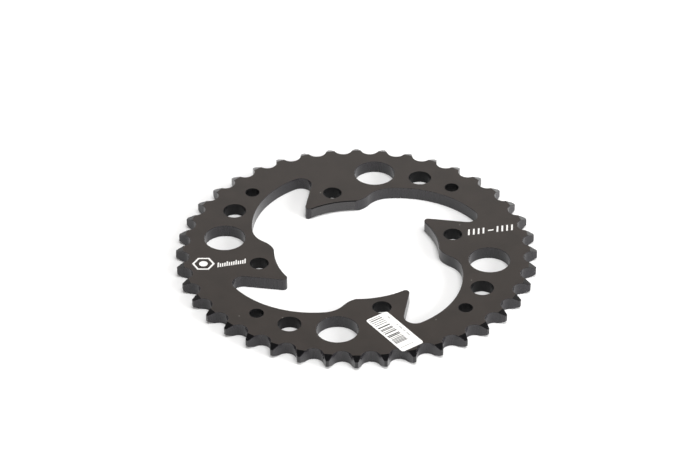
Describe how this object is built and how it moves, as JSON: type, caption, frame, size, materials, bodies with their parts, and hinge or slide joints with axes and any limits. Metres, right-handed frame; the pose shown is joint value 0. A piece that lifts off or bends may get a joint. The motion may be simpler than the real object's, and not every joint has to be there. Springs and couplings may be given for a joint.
{
  "type": "rear sprocket",
  "caption": "Flat rear chain sprocket with swept bolt lugs around a pilot bore and round lightening holes, black anodised, with a small stock label on its upper face.",
  "frame": {"origin": "on the sprocket's axis, in the plane of its flat underside, which is the face that sits on the hub", "axes": "+Z along the axis, from the hub side to the outer face that carries the label; +X through the middle of a tooth; the lugs sweep anticlockwise seen from +Z"},
  "size_m": [0.1664, 0.1664, 0.0061],
  "materials": {
    "anodised_plate": "black anodised, fine satin",
    "label_paper": "semi-gloss white label stock",
    "white_marking": "thin white printed mark"
  },
  "bodies": {
    "root": {"sprocket_plate": "anodised_plate", "barcode_label": "label_paper"}
  },
  "joints": []
}
